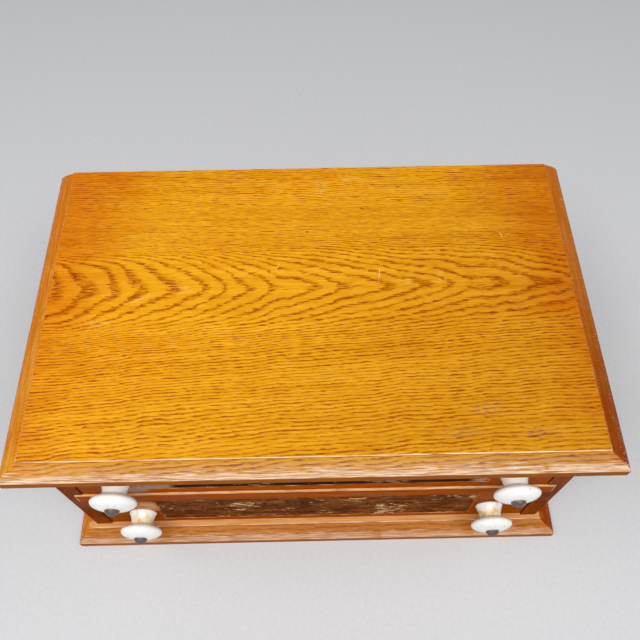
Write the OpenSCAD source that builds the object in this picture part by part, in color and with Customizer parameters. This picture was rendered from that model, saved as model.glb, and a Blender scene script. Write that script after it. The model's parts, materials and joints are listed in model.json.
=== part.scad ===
// Two-drawer oak spool cabinet with a moulded top and base, recessed label panels
// on the drawer fronts and porcelain knobs on iron bolts.
// Millimetres. +X is right, +Y is back, +Z is up.
// The origin is the centre of the base board's underside.

/* [Top and base] */
// Width of the top and base boards
board_w = 470; // [420:1:540]
// Depth of the top and base boards
board_d = 295; // [260:1:340]
// Thickness of the top board
top_t = 18; // [16:0.5:24]
// Thickness of the base board
base_t = 18; // [16:0.5:24]
// How far the boards stand out past the case at the front and ends
overhang = 17.5; // [16:0.5:26]
// How far the boards stand out past the case at the back
back_overhang = 2.5; // [1:0.5:8]
// Width of the moulded band along the front and ends
edge_w = 13.5; // [10:0.5:15]
// Height of the square step where the moulding starts
edge_step = 1.5; // [0.5:0.1:2.5]
// Fall of the rounded moulding from the step to the outer edge
edge_fall = 6.5; // [5:0.5:8]
// Slope of the moulding where it leaves the step, in degrees
edge_slope = 10; // [2:1:14]

/* [Case] */
// Clear height between the base and the top
case_h = 183; // [165:1:220]
// Thickness of the case sides
side_t = 15.5; // [13:0.5:20]
// Depth of the housings and rabbets cut in the case sides
housing_d = 8; // [5:0.5:9]
// Thickness of the divider between the drawers
divider_t = 18.5; // [14:0.5:24]
// Depth of the divider's front rail
divider_d = 45; // [35:1:60]
// How far the divider's front edge stands proud of the case sides
divider_proud = 0.8; // [0.2:0.1:2]
// Depth of the divider's rear rail
rear_rail_d = 30; // [24:1:45]
// Width of the drawer runners inside the case
runner_w = 15; // [13:0.5:24]
// Length of the tongues on the runners' ends
tongue_l = 8; // [5:0.5:12]
// Thickness of the tongues on the runners' ends
tongue_t = 6; // [4:0.5:8]
// Thickness of the back panel
panel_t = 6; // [4:0.5:9]
// Depth of the drawer stops
stop_d = 12; // [8:0.5:18]
// Width of each drawer stop
stop_w = 30; // [20:1:50]
// Height of each drawer stop
stop_h = 15; // [12:0.5:20]
// Distance of each drawer stop's centre from the middle
stop_x = 140; // [60:1:150]

/* [Drawers] */
// How far the drawer fronts sit behind the case's front
drawer_reveal = 1.4; // [0.5:0.1:4]
// Thickness of the drawer fronts
front_t = 19; // [17:0.5:24]
// Gap round each drawer front
front_gap = 0.75; // [0.5:0.05:1.5]
// Gap beside each drawer box
box_gap = 1; // [0.6:0.05:2]
// Gap between a drawer's sides and the floor they run on
run_gap = 0.2; // [0.1:0.05:0.5]
// Gap between a closed drawer and its stops
stop_gap = 0.3; // [0.2:0.05:1]
// Thickness of the drawer sides
drawer_side_t = 10; // [8:0.5:13]
// Height of the drawer sides
drawer_side_h = 66; // [54:0.5:70]
// Thickness of the drawer backs
drawer_back_t = 10; // [8:0.5:14]
// How far the drawer sides run on behind the drawer back
drawer_tail = 8; // [4:0.5:14]
// How far a drawer back sits below the drawer sides' top edge
drawer_back_drop = 6; // [2:0.5:12]
// Depth of the housings for the drawer backs
drawer_back_housing = 4; // [2:0.5:5]
// Thickness of the drawer bottoms
bottom_t = 5; // [4:0.5:7]
// Depth of the grooves for the drawer bottoms
groove_d = 5; // [3:0.5:6]
// Height of the drawer bottoms above the drawer sides' lower edge
bottom_lift = 6; // [4:0.5:10]
// Play of a drawer bottom in its grooves
bottom_play = 0.5; // [0.2:0.1:1]
// Number of dovetails at each front corner of a drawer
tail_count = 3; // [2:1:4]
// Length of the dovetails
tail_l = 13; // [10:0.5:15]
// Width of each dovetail at its end
tail_w = 15; // [12:0.5:15.5]
// Slope of the dovetails' flanks, as a run for a rise of one
tail_slope = 7; // [5:0.5:9]
// Number of slats between the rows of spools
slat_count = 9; // [5:1:9]
// Thickness of the slats
slat_t = 3.5; // [2:0.5:5]
// Height of the slats
slat_h = 16; // [10:0.5:17]

/* [Label panels] */
// Width of the recess for the label
recess_w = 296; // [240:1:300]
// Width of the drawer front left above and below the recess
recess_rail = 9; // [7:0.5:14]
// Depth of the recess
recess_d = 1; // [0.8:0.1:2]
// Width of the bevel round the recess
recess_bevel = 0.6; // [0.3:0.1:2]
// Thickness of the label
label_t = 0.6; // [0.4:0.1:0.8]
// Gap round the label in its recess
label_gap = 0.2; // [0.1:0.1:1]

/* [Knobs] */
// Diameter of the knob's head
knob_d = 38; // [34:0.5:42]
// Thickness of the knob's head
knob_head_t = 13.6; // [11:0.2:16]
// Distance from the drawer front to the middle of the knob's head
knob_reach = 18.6; // [17.6:0.2:24]
// Diameter of the knob's foot
knob_foot_d = 25.4; // [23:0.2:27]
// Radius of the rounded edge of the knob's foot
knob_foot_round = 1.6; // [1:0.1:2.4]
// Diameter of the knob's neck at its narrowest
knob_neck_d = 19.6; // [16:0.2:20.5]
// Distance from the knob's axis to the end of the drawer front
knob_inset = 37.5; // [34:0.5:39]
// Distance of the knobs below the middle of the drawer front
knob_drop = 5; // [0:0.5:8]
// Diameter of the knob bolt
bolt_d = 4.8; // [4:0.1:6]
// Diameter of the bolt's domed head
bolt_head_d = 12.4; // [11:0.2:14]
// Height of the bolt's domed head
bolt_head_h = 4.8; // [3:0.2:5.4]
// Width of the slot in the bolt's head
slot_w = 1.5; // [1:0.1:2]
// Depth of the slot in the bolt's head
slot_d = 1.8; // [1:0.1:2.5]
// Length of bolt left showing past its nut
bolt_tip = 3; // [1:0.5:5]
// Diameter of the washer
washer_d = 14; // [13:0.5:16]
// Thickness of the washer
washer_t = 1.2; // [0.8:0.1:2]
// Width of the square nut
nut_w = 9.5; // [8:0.5:11]
// Thickness of the square nut
nut_t = 4; // [3:0.2:6]
// Gap round a bolt in the holes that it passes through
bolt_gap = 0.3; // [0.1:0.05:0.6]

/* [Fasteners] */
// Diameter of the dowels in the top
dowel_d = 8; // [6:0.5:10]
// Length of the dowels in the top
dowel_l = 30; // [20:1:40]
// Depth of the dowels in the top board
dowel_top = 10; // [6:0.5:12]
// Diameter of the base screws
screw_d = 4.2; // [3.5:0.1:5]
// Length of the base screws
screw_l = 42; // [34:1:55]
// Diameter of the base screws' heads
screw_head_d = 8.4; // [7:0.2:9.6]
// Thickness of the rim of the base screws' heads
screw_rim = 0.5; // [0.3:0.1:1]
// Width of the slot in the base screws' heads
screw_slot_w = 1.2; // [0.8:0.1:1.6]
// Depth of the slot in the base screws' heads
screw_slot_d = 0.9; // [0.5:0.1:1.5]
// Depth of the base screws' heads below the base
screw_sink = 0.8; // [0.4:0.1:2]
// Number of dowels and of screws in each side
fixing_count = 3; // [2:1:4]
// Distance of the first and last dowel and screw from the ends of a side
fixing_inset = 34; // [25:1:50]
// Number of nails down each side of the back panel
nail_count = 4; // [3:1:6]
// Distance of the first and last nail from the ends of the back panel
nail_inset = 18; // [12:1:25]
// Number of nails along the back of each drawer bottom
bottom_nail_count = 3; // [2:1:5]
// Distance of the first and last of those nails from the drawer sides
bottom_nail_inset = 60; // [30:1:90]
// Diameter of the nails
nail_d = 1.6; // [1.2:0.1:2]
// Length of the nails
nail_l = 20; // [14:1:24]
// Diameter of the nails' heads
nail_head_d = 4; // [3:0.2:5]
// Thickness of the nails' heads
nail_head_t = 0.7; // [0.5:0.1:1]
// Gap round dowels, screws, nails and threads
fixing_gap = 0.05; // [0.03:0.01:0.1]

/* [Hidden] */
$fn = 96;
// How far cutting shapes run past the face that they cut
over = 1;
// Points along the outline of a knob's head and of its neck
head_points = 33;
neck_points = 9;

oak = [0.80, 0.52, 0.14];
pale_wood = [0.80, 0.64, 0.42];
porcelain = [0.96, 0.95, 0.92];
iron = [0.30, 0.27, 0.25];
label_brown = [0.28, 0.17, 0.09];

// The case
case_w = board_w - 2 * overhang;
case_front = -board_d / 2 + overhang;
case_back = board_d / 2 - back_overhang;
case_d = case_back - case_front;
opening_w = case_w - 2 * side_t;
opening_h = (case_h - divider_t) / 2;
housed_w = opening_w + 2 * housing_d;
panel_front = case_back - panel_t;
divider_z = base_t + opening_h;
rail_front = case_front - divider_proud;
rail_back = case_front + divider_d;
rear_rail_front = panel_front - rear_rail_d;
top_z = base_t + case_h;

// The rounded moulding is an arc that leaves the step at edge_slope
edge_drop = edge_step + edge_fall;
edge_chord = norm([edge_w, edge_fall]);
edge_r = edge_chord / (2 * sin(atan2(edge_fall, edge_w) - edge_slope));

// A drawer, with z = 0 at the floor of its opening
front_w = opening_w - 2 * front_gap;
front_h = opening_h - 2 * front_gap;
front_y = case_front + drawer_reveal;
front_back = front_y + front_t;
box_w = opening_w - 2 * box_gap;
box_inner_w = box_w - 2 * drawer_side_t;
box_back = panel_front - stop_d - stop_gap;
bottom_z = run_gap + bottom_lift;
bottom_top = bottom_z + bottom_t;
back_face = box_back - drawer_tail;
back_front = back_face - drawer_back_t;
side_top = run_gap + drawer_side_h;
tail_pitch = drawer_side_h / tail_count;
slat_pitch = (box_inner_w + slat_t) / (slat_count + 1);
slat_l = back_front - front_back;
recess_h = front_h - 2 * recess_rail;
label_w = recess_w - 2 * recess_bevel - 2 * label_gap;
label_h = recess_h - 2 * recess_bevel - 2 * label_gap;

// A knob, with z = 0 at the drawer front and +Z towards the user
knob_x = front_w / 2 - knob_inset;
knob_z = opening_h / 2 - knob_drop;
knob_bore_r = bolt_d / 2 + bolt_gap;
knob_half_t = knob_head_t / 2;
neck_r = knob_neck_d / 2;
foot_r = knob_foot_d / 2;
bolt_seat = knob_reach + knob_half_t * sqrt(1 - pow(bolt_head_d / knob_d, 2));
neck_end = knob_reach - knob_half_t * sqrt(1 - pow(knob_neck_d / knob_d, 2));

drawer_names = ["lower", "upper"];
drawer_floors = [base_t, divider_z + divider_t];

// A run of evenly spaced places from one end to the other
function spaced(from, to, count) = [for (i = [0 : count - 1]) from + (to - from) * i / (count - 1)];

fixing_ys = spaced(case_front + fixing_inset, panel_front - fixing_inset, fixing_count);
fixing_x = (opening_w + side_t) / 2;
nail_zs = spaced(base_t + nail_inset, top_z - nail_inset, nail_count);
nail_x = (opening_w + housing_d) / 2;
bottom_nail_x = box_inner_w / 2 - bottom_nail_inset;
bottom_nail_xs = spaced(-bottom_nail_x, bottom_nail_x, bottom_nail_count);

// Places its children at both ends of the cabinet
module both_ends(x) {
    for (side = [-1, 1])
        translate([side * x, 0, 0]) children();
}

// Stands its children on a face whose outward direction is -Y
module facing_front() {
    rotate([90, 0, 0]) children();
}

// Section of one moulded edge, with the arris of the step at the origin
module edge_section() {
    intersection() {
        translate([-over, -edge_drop - over]) square([edge_w + over, edge_fall + over]);
        translate([-edge_r * sin(edge_slope), -edge_step - edge_r * cos(edge_slope)]) circle(edge_r);
    }
}

// Section of a board along X, with both edges moulded
module end_section(t) {
    translate([-board_w / 2, 0]) square([board_w, t - edge_drop]);
    translate([-board_w / 2 + edge_w, 0]) square([board_w - 2 * edge_w, t]);
    for (side = [0, 1])
        mirror([side, 0]) translate([board_w / 2 - edge_w, t]) edge_section();
}

// Section of a board along Y, with only the front edge moulded
module front_section(t) {
    translate([-board_d / 2, 0]) square([board_d, t - edge_drop]);
    translate([-board_d / 2 + edge_w, 0]) square([board_d - edge_w, t]);
    mirror([1, 0]) translate([board_d / 2 - edge_w, t]) edge_section();
}

// A board with its moulding mitred round the front corners
module moulded_board(t) {
    intersection() {
        translate([0, board_d / 2, 0]) rotate([90, 0, 0]) linear_extrude(board_d) end_section(t);
        translate([-board_w / 2, 0, 0]) rotate([90, 0, 90]) linear_extrude(board_w) front_section(t);
    }
}

// Round pegs across the joint of top and sides, wider than a dowel by gap all round
module dowels(gap) {
    for (y = fixing_ys)
        both_ends(fixing_x)
            translate([0, y, top_z + dowel_top - dowel_l - gap])
                cylinder(h = dowel_l + 2 * gap, d = dowel_d + 2 * gap);
}

// Countersunk shapes up through the base, from z = mouth and wider than a screw by gap all round
module screw_shapes(mouth, gap) {
    head_r = screw_head_d / 2 + gap;
    shank_r = screw_d / 2 + gap;
    rim_z = screw_sink + screw_rim;
    for (y = fixing_ys)
        both_ends(fixing_x)
            translate([0, y, 0])
                rotate_extrude()
                    polygon([[0, mouth], [head_r, mouth], [head_r, rim_z],
                             [shank_r, rim_z + head_r - shank_r],
                             [shank_r, screw_l - screw_d], [0, screw_l + gap]]);
}

module screw_holes() {
    screw_shapes(-over, fixing_gap);
}

// One nail along +Z, with its head's underside at z = 0
module nail() {
    cylinder(h = nail_l, d = nail_d);
    translate([0, 0, -nail_head_t]) cylinder(h = nail_head_t, d = nail_head_d);
}

module nail_hole() {
    translate([0, 0, -over]) cylinder(h = nail_l + fixing_gap + over, d = nail_d + 2 * fixing_gap);
}

module at_panel_nails() {
    for (z = nail_zs)
        both_ends(nail_x)
            translate([0, case_back, z]) facing_front() children();
}

module at_bottom_nails() {
    for (x = bottom_nail_xs)
        translate([x, (back_front + back_face) / 2, bottom_z]) children();
}

module top_board() {
    color(oak)
        difference() {
            translate([0, 0, top_z]) moulded_board(top_t);
            dowels(fixing_gap);
        }
}

module base_board() {
    color(oak)
        difference() {
            moulded_board(base_t);
            screw_holes();
        }
}

// The right-hand side; the left is its mirror image
module case_side() {
    color(oak)
        difference() {
            translate([opening_w / 2, case_front, base_t]) cube([side_t, case_d, case_h]);
            translate([opening_w / 2 - over, case_front - over, divider_z])
                cube([housing_d + over, panel_front - case_front + over, divider_t]);
            translate([opening_w / 2 - over, panel_front, base_t - over])
                cube([housing_d + over, panel_t + over, case_h + 2 * over]);
            dowels(fixing_gap);
            screw_holes();
            at_panel_nails() nail_hole();
        }
}

module back_panel() {
    color(pale_wood)
        difference() {
            translate([-housed_w / 2, panel_front, base_t]) cube([housed_w, panel_t, case_h]);
            at_panel_nails() nail_hole();
        }
}

// Tongues on both ends of the right-hand runner
module runner_tongues() {
    for (y = [rail_back - tongue_l, rear_rail_front])
        translate([opening_w / 2 - runner_w, y, divider_z + (divider_t - tongue_t) / 2])
            cube([runner_w, tongue_l, tongue_t]);
}

module runner_mortises() {
    for (side = [0, 1])
        mirror([side, 0, 0]) runner_tongues();
}

module divider_rail() {
    color(oak)
        difference() {
            translate([-housed_w / 2, rail_front, divider_z])
                cube([housed_w, rail_back - rail_front, divider_t]);
            runner_mortises();
        }
}

module rear_rail() {
    color(pale_wood)
        difference() {
            translate([-housed_w / 2, rear_rail_front, divider_z])
                cube([housed_w, rear_rail_d, divider_t]);
            runner_mortises();
        }
}

// The right-hand runner; the left is its mirror image
module runner() {
    color(pale_wood) {
        translate([opening_w / 2 - runner_w, rail_back, divider_z])
            cube([runner_w + housing_d, rear_rail_front - rail_back, divider_t]);
        runner_tongues();
    }
}

module top_dowels() {
    color(pale_wood) dowels(0);
}

module base_screws() {
    color(iron)
        difference() {
            screw_shapes(screw_sink, 0);
            for (y = fixing_ys)
                both_ends(fixing_x)
                    translate([-screw_head_d, y - screw_slot_w / 2, screw_sink - over])
                        cube([2 * screw_head_d, screw_slot_w, screw_slot_d + over]);
        }
}

module back_nails() {
    color(iron) at_panel_nails() nail();
}

module drawer_stops() {
    color(pale_wood)
        both_ends(stop_x)
            translate([-stop_w / 2, panel_front - stop_d, 0]) cube([stop_w, stop_d, stop_h]);
}

// Outlines of the dovetails on a drawer side, with x along Y and y along Z
module tail_outlines() {
    narrow = tail_w / 2 - tail_l / tail_slope;
    for (i = [0 : tail_count - 1])
        translate([front_back, run_gap + (i + 0.5) * tail_pitch])
            polygon([[-tail_l, -tail_w / 2], [0, -narrow], [over, -narrow],
                     [over, narrow], [0, narrow], [-tail_l, tail_w / 2]]);
}

// Dovetails of the right-hand drawer side
module tails() {
    translate([box_w / 2 - drawer_side_t, 0, 0])
        rotate([90, 0, 90]) linear_extrude(drawer_side_t) tail_outlines();
}

// The bevelled recess in a drawer front, cut from its face
module recess() {
    slope_x = recess_w / 2 - recess_bevel;
    slope_z = recess_h / 2 - recess_bevel;
    intersection() {
        linear_extrude(opening_h)
            translate([0, front_y])
                polygon([[-recess_w / 2, -over], [recess_w / 2, -over], [recess_w / 2, 0],
                         [slope_x, recess_d], [-slope_x, recess_d], [-recess_w / 2, 0]]);
        translate([-front_w / 2, 0, 0])
            rotate([90, 0, 90]) linear_extrude(front_w)
                translate([front_y, opening_h / 2])
                    polygon([[-over, -recess_h / 2], [0, -recess_h / 2], [recess_d, -slope_z],
                             [recess_d, slope_z], [0, recess_h / 2], [-over, recess_h / 2]]);
    }
}

module drawer_front() {
    color(oak)
        difference() {
            translate([-front_w / 2, front_y, front_gap]) cube([front_w, front_t, front_h]);
            recess();
            for (side = [0, 1])
                mirror([side, 0, 0]) tails();
            translate([-box_inner_w / 2, front_back - groove_d, bottom_z])
                cube([box_inner_w, groove_d + over, bottom_t]);
            both_ends(knob_x)
                translate([0, front_back + over, knob_z]) facing_front()
                    cylinder(h = front_t + 2 * over, r = knob_bore_r);
        }
}

module label() {
    color(label_brown)
        translate([-label_w / 2, front_y + recess_d - label_t, (opening_h - label_h) / 2])
            cube([label_w, label_t, label_h]);
}

// The right-hand drawer side; the left is its mirror image
module drawer_side() {
    inner_x = box_inner_w / 2;
    color(pale_wood)
        difference() {
            union() {
                translate([inner_x, front_back, run_gap])
                    cube([drawer_side_t, box_back - front_back, drawer_side_h]);
                tails();
            }
            translate([inner_x - over, front_back, bottom_z])
                cube([groove_d + over, box_back - front_back + over, bottom_t]);
            translate([inner_x - over, back_front, bottom_top])
                cube([drawer_back_housing + over, drawer_back_t, drawer_side_h]);
        }
}

module drawer_back() {
    w = box_inner_w + 2 * drawer_back_housing;
    color(pale_wood)
        difference() {
            translate([-w / 2, back_front, bottom_top])
                cube([w, drawer_back_t, side_top - drawer_back_drop - bottom_top]);
            at_bottom_nails() nail_hole();
        }
}

module drawer_bottom() {
    w = box_inner_w + 2 * (groove_d - bottom_play);
    front_edge = front_back - groove_d + bottom_play;
    color(pale_wood)
        difference() {
            union() {
                translate([-box_inner_w / 2, front_edge, bottom_z])
                    cube([box_inner_w, box_back - front_edge, bottom_t]);
                translate([-w / 2, front_back, bottom_z])
                    cube([w, box_back - front_back, bottom_t]);
            }
            at_bottom_nails() nail_hole();
        }
}

module drawer_nails() {
    color(iron) at_bottom_nails() nail();
}

module spool_slat(i) {
    x = -box_inner_w / 2 - slat_t + i * slat_pitch;
    color(pale_wood)
        translate([x, front_back, bottom_top]) cube([slat_t, slat_l, slat_h]);
}

// Half section of a knob: a rounded foot, a neck that flares out to it and an oblate head
function knob_outline() = concat(
    [[knob_bore_r, 0]],
    [for (a = [-90 : 15 : 0]) [foot_r - knob_foot_round * (1 - cos(a)), knob_foot_round * (1 + sin(a))]],
    [for (s = spaced(0.1, 0.9, neck_points))
        [neck_r + (foot_r - neck_r) * pow(1 - s, 2), knob_foot_round + (neck_end - knob_foot_round) * s]],
    [for (a = spaced(-acos(knob_neck_d / knob_d), acos(bolt_head_d / knob_d), head_points))
        [knob_d / 2 * cos(a), knob_reach + knob_half_t * sin(a)]],
    [[knob_bore_r, bolt_seat]]
);

module knob(side) {
    color(porcelain)
        translate([side * knob_x, front_y, knob_z]) facing_front()
            rotate_extrude() polygon(knob_outline());
}

// One bolt along its knob's axis, from the domed head back through the nut
module knob_bolt() {
    dome_r = (pow(bolt_head_d / 2, 2) + pow(bolt_head_h, 2)) / (2 * bolt_head_h);
    tip = -front_t - washer_t - nut_t - bolt_tip;
    difference() {
        union() {
            translate([0, 0, tip]) cylinder(h = bolt_seat - tip, d = bolt_d);
            intersection() {
                translate([0, 0, bolt_seat]) cylinder(h = bolt_head_h + over, d = bolt_head_d);
                translate([0, 0, bolt_seat + bolt_head_h - dome_r]) sphere(dome_r);
            }
        }
        translate([-bolt_head_d, -slot_w / 2, bolt_seat + bolt_head_h - slot_d])
            cube([2 * bolt_head_d, slot_w, slot_d + over]);
    }
}

module at_knobs() {
    both_ends(knob_x)
        translate([0, front_y, knob_z]) facing_front() children();
}

module knob_bolts() {
    color(iron) at_knobs() knob_bolt();
}

module knob_washers() {
    color(iron)
        at_knobs()
            translate([0, 0, -front_t - washer_t])
                difference() {
                    cylinder(h = washer_t, d = washer_d);
                    translate([0, 0, -over]) cylinder(h = washer_t + 2 * over, r = knob_bore_r);
                }
}

module knob_nuts() {
    color(iron)
        at_knobs()
            translate([0, 0, -front_t - washer_t - nut_t])
                difference() {
                    translate([-nut_w / 2, -nut_w / 2, 0]) cube([nut_w, nut_w, nut_t]);
                    translate([0, 0, -over]) cylinder(h = nut_t + 2 * over, d = bolt_d + 2 * fixing_gap);
                }
}

top_board();
base_board();
mirror([1, 0, 0]) case_side();  // left_side
case_side();  // right_side
back_panel();
divider_rail();
mirror([1, 0, 0]) runner();  // left_runner
runner();  // right_runner
rear_rail();
top_dowels();
base_screws();
back_nails();

for (level = [0, 1])
    translate([0, 0, drawer_floors[level]]) {
        name = drawer_names[level];
        drawer_stops();
        drawer_front();
        label();
        mirror([1, 0, 0]) drawer_side();
        drawer_side();
        drawer_back();
        drawer_bottom();
        drawer_nails();
        knob(-1);
        knob(1);
        knob_bolts();
        knob_washers();
        knob_nuts();
        for (i = [1 : slat_count])
            spool_slat(i);
    }
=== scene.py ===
"""Looks of the spool cabinet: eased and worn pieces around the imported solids, their materials, a plain
studio and the photograph's camera. Metres, in the part's frame: +X right, front towards -Y, +Z up."""

import json
import math

import bmesh
import bpy
from mathutils import Matrix, Vector, noise

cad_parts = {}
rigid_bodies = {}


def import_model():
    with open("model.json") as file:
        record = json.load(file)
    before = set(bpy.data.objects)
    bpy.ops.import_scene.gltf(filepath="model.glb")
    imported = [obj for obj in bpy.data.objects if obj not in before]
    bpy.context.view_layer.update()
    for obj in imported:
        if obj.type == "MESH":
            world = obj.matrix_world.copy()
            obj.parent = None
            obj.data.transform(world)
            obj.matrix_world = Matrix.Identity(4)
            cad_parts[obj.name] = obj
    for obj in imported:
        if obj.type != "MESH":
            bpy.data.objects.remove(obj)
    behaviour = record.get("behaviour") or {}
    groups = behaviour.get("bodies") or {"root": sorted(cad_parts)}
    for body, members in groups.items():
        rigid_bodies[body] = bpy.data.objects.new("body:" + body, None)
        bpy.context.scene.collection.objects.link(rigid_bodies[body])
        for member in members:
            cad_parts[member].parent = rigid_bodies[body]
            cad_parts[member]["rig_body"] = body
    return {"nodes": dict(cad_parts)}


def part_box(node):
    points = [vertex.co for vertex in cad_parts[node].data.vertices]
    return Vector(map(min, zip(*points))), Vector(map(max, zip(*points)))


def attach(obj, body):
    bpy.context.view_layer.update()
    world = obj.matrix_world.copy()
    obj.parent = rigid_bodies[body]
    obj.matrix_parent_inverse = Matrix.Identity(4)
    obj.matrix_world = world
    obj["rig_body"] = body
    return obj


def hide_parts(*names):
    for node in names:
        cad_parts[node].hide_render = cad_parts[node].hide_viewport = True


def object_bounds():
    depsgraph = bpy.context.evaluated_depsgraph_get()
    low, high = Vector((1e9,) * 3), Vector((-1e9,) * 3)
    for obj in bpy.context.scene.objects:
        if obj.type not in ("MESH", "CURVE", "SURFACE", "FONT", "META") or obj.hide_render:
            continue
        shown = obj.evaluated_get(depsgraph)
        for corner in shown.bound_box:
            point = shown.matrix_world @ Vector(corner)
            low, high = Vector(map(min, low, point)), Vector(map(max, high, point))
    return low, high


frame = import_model()
cad_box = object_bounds()

MM = 0.001
LEVELS = ("upper", "lower")
SIDES = ("left", "right")


# Node trees written as formulas


class Term:
    """One number in a node tree. Terms add, multiply and divide, so a material reads as a formula."""

    def __init__(self, graph, socket):
        self.graph = graph
        self.socket = socket

    def __add__(self, other):
        return self.graph.math("ADD", self, other)

    def __sub__(self, other):
        return self.graph.math("SUBTRACT", self, other)

    def __rsub__(self, other):
        return self.graph.math("SUBTRACT", other, self)

    def __mul__(self, other):
        return self.graph.math("MULTIPLY", self, other)

    def __truediv__(self, other):
        return self.graph.math("DIVIDE", self, other)

    def __rtruediv__(self, other):
        return self.graph.math("DIVIDE", other, self)

    __radd__ = __add__
    __rmul__ = __mul__


class Graph:
    """Adds nodes to one tree and hands back what they give."""

    def __init__(self, tree):
        self.tree = tree

    def put(self, kind, inputs=None, **settings):
        """A new node with these settings and inputs."""
        node = self.tree.nodes.new(kind)
        for key, value in settings.items():
            setattr(node, key, value)
        for key, value in (inputs or {}).items():
            self.feed(node.inputs[key], value)
        return node

    def feed(self, socket, value):
        """Links a socket to another one, or sets it to a plain value."""
        if isinstance(value, Term):
            value = value.socket
        if isinstance(value, bpy.types.NodeSocket):
            self.tree.links.new(value, socket)
        else:
            socket.default_value = value

    def math(self, operation, *values):
        node = self.put("ShaderNodeMath", dict(enumerate(values)), operation=operation)
        return Term(self, node.outputs[0])

    def axes(self, order="xyz"):
        """The piece's own coordinates, at rest in the part's frame, in the order asked for."""
        place = self.put("ShaderNodeTexCoord").outputs["Object"]
        parts = self.put("ShaderNodeSeparateXYZ", {0: place}).outputs
        return [Term(self, parts["xyz".index(axis)]) for axis in order]

    def join(self, *parts):
        return self.put("ShaderNodeCombineXYZ", dict(enumerate(parts))).outputs[0]

    def noise(self, place, cell, detail=2.0, roughness=0.5):
        """Soft noise around one half, with its cell's length along each axis."""
        place = self.put("ShaderNodeVectorMath", {0: place, 1: cell}, operation="DIVIDE").outputs[0]
        inputs = {"Vector": place, "Scale": 1.0, "Detail": detail, "Roughness": roughness}
        return Term(self, self.put("ShaderNodeTexNoise", inputs).outputs["Fac"])

    def facing(self, axis):
        """How far the surface turns towards that axis of the piece, from -1 to 1."""
        normal = self.put("ShaderNodeTexCoord").outputs["Normal"]
        return Term(self, self.put("ShaderNodeSeparateXYZ", {0: normal}).outputs["xyz".index(axis)])

    def chance(self, number):
        """A random share for each whole number."""
        node = self.put("ShaderNodeTexWhiteNoise", {"W": number}, noise_dimensions="1D")
        return Term(self, node.outputs["Value"])

    def cracks(self, place, cell):
        """Distance from the nearest border between random cells, in cells."""
        inputs = {"Vector": place, "Scale": 1 / cell}
        node = self.put("ShaderNodeTexVoronoi", inputs, feature="DISTANCE_TO_EDGE")
        return Term(self, node.outputs["Distance"])

    def step(self, value, low, high):
        """0 at low and 1 at high, with a smooth rise between them."""
        inputs = {"Value": value, "From Min": low, "From Max": high}
        node = self.put("ShaderNodeMapRange", inputs, interpolation_type="SMOOTHSTEP")
        return Term(self, node.outputs[0])

    def painted(self, name):
        """A number that the mesh carries at its points or corners."""
        node = self.put("ShaderNodeAttribute", attribute_name=name)
        return Term(self, node.outputs["Fac"])

    def shade(self, value, *stops):
        """A colour along a scale of (position, colour) stops."""
        node = self.put("ShaderNodeValToRGB", {0: value})
        scale = node.color_ramp.elements
        while len(scale) < len(stops):
            scale.new(1.0)
        for element, (position, colour) in zip(scale, stops):
            element.position = position
            element.color = colour
        return node.outputs[0]

    def mix(self, share, first, second, blend="MIX"):
        """The first colour with a share of the second over it."""
        inputs = {0: share, 6: first, 7: second}
        node = self.put("ShaderNodeMix", inputs, data_type="RGBA", blend_type=blend)
        return node.outputs[2]

    def bump(self, height, depth):
        """Surface relief: height 0 to 1 over that depth."""
        inputs = {"Strength": 1.0, "Distance": depth, "Height": height}
        return self.put("ShaderNodeBump", inputs).outputs[0]


def srgb(red, green, blue):
    """A colour as it reads on screen, 0 to 255, in the linear values that shaders take."""

    def linear(level):
        level /= 255
        return level / 12.92 if level <= 0.04045 else ((level + 0.055) / 1.055) ** 2.4

    return (linear(red), linear(green), linear(blue), 1.0)


def new_material(name):
    """A material with its graph and its shader, ready to be fed."""
    made = bpy.data.materials.new(name)
    made.use_nodes = True
    graph = Graph(made.node_tree)
    shader = next(n for n in made.node_tree.nodes if n.type == "BSDF_PRINCIPLED")
    return made, graph, shader


def finish_surface(graph, shader, colour, roughness, height, depth, specular=0.5):
    """Feeds a shader its colour, its gloss and a relief of that depth."""
    graph.feed(shader.inputs["Base Color"], colour)
    graph.feed(shader.inputs["Roughness"], roughness)
    graph.feed(shader.inputs["Normal"], graph.bump(height, depth))
    graph.feed(shader.inputs["Specular IOR Level"], specular)


# Specular level of faces whose varnish or glaze has gone dull
DULL = 0.004


# Oak

# How a board was sawn: where its heart line lies across it, how far apart the arches in its middle follow
# each other and how far along they would come to an end, how far they reach to each side, what share of
# their slope the lines beyond keep, how round their tips are, how steeply their legs run back before and
# after the places in ends, and the width of a year ring at the front, on the heart line and behind it.
ARCHED = dict(heart=15 * MM, arch=27 * MM, end=650 * MM, reach=60 * MM, slope_left=0.55, tip=5 * MM,
              ends=(-235 * MM, 80 * MM), legs=(0.16, 0.62), rings=(3.3 * MM, 4.6 * MM, 2.2 * MM))
STRAIGHT = dict(heart=88 * MM, arch=150 * MM, end=2000 * MM, reach=60 * MM, slope_left=0.3, tip=20 * MM,
                ends=(-200 * MM, 200 * MM), legs=(0.8, 0.7), rings=(4.2 * MM, 4.2 * MM, 3.6 * MM))

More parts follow.
